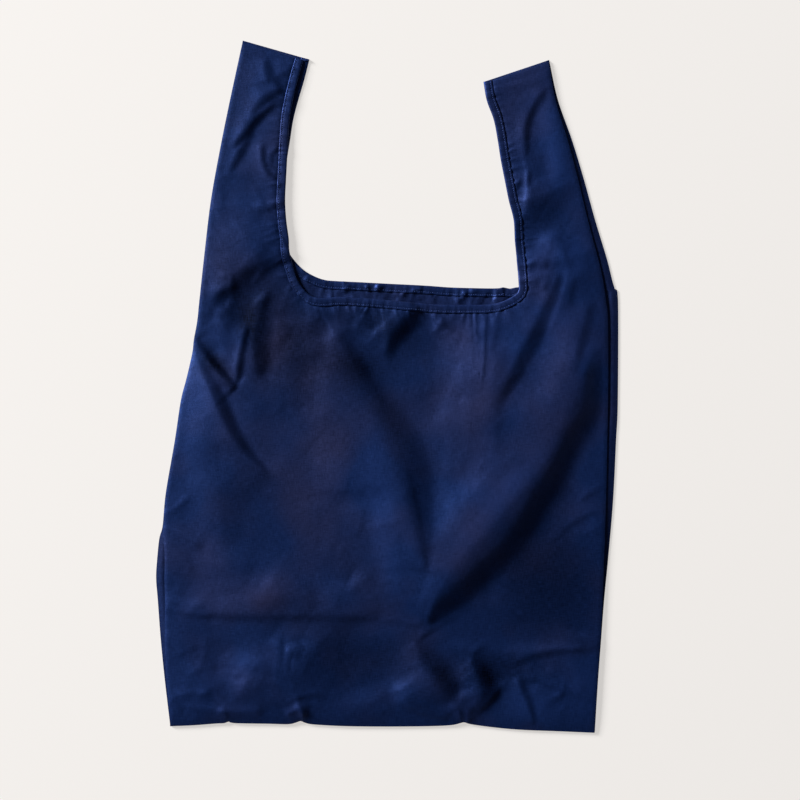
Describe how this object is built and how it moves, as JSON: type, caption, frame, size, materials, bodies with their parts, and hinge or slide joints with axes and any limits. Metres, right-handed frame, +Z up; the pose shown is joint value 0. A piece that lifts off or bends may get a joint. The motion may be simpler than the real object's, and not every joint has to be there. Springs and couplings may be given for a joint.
{
  "type": "foldable tote bag",
  "caption": "Foldable nylon shopping tote with integral handles and folded side gussets, lying flat and open.",
  "frame": {"origin": "on the surface the bag lies on, under the centre of its bounding box", "axes": "+X across the bag to its right side, +Y from the bottom seam to the handles, +Z up from the back panel to the front panel"},
  "size_m": [0.4302, 0.644, 0.007],
  "materials": {
    "nylon": "satin plain-weave nylon, navy",
    "binding": "folded and topstitched nylon binding, navy",
    "seam": "sewn nylon seam, navy"
  },
  "bodies": {
    "center": {"front_panel_center": "nylon", "back_panel_center": "nylon", "back_binding_center": "binding", "bottom_seam_center": "seam"},
    "mouth_front": {"front_panel_mouth": "nylon", "front_binding_center": "binding"},
    "left_side": {"front_panel_left": "nylon", "back_panel_left": "nylon", "gusset_left": "nylon", "front_binding_left": "binding", "back_binding_left": "binding", "bottom_seam_left": "seam"},
    "right_side": {"front_panel_right": "nylon", "back_panel_right": "nylon", "gusset_right": "nylon", "front_binding_right": "binding", "back_binding_right": "binding", "bottom_seam_right": "seam"},
    "left_handle": {"handle_left_front": "nylon", "handle_left_back": "nylon", "handle_left_gusset_front": "nylon", "handle_left_gusset_back": "nylon", "handle_left_front_binding": "binding", "handle_left_back_binding": "binding", "handle_left_top_seam": "seam"},
    "right_handle": {"handle_right_front": "nylon", "handle_right_back": "nylon", "handle_right_gusset_front": "nylon", "handle_right_gusset_back": "nylon", "handle_right_front_binding": "binding", "handle_right_back_binding": "binding", "handle_right_top_seam": "seam"}
  },
  "joints": [
    {"name": "left_side_fold", "type": "hinge", "parent": "center", "child": "left_side", "pos_m": [-0.08, -0.314, 0.01166], "axis": [0.0757, 0.9971, 0], "range_deg": [0, 179.5]},
    {"name": "right_side_fold", "type": "hinge", "parent": "center", "child": "right_side", "pos_m": [0.068, -0.318, 0.02047], "axis": [-0.0304, -0.9995, 0], "range_deg": [0, 179.5]},
    {"name": "left_handle_fold", "type": "hinge", "parent": "left_side", "child": "left_handle", "pos_m": [-0.136, 0.137, 0.0072], "axis": [1, 0, 0], "range_deg": [0, 179.5]},
    {"name": "right_handle_fold", "type": "hinge", "parent": "right_side", "child": "right_handle", "pos_m": [0.1515, 0.137, 0.0072], "axis": [1, 0, 0], "range_deg": [0, 179.5]},
    {"name": "mouth_open", "type": "hinge", "parent": "center", "child": "mouth_front", "pos_m": [0, -0.09, 0.00675], "axis": [-1, 0, 0], "range_deg": [-15, 0]}
  ]
}
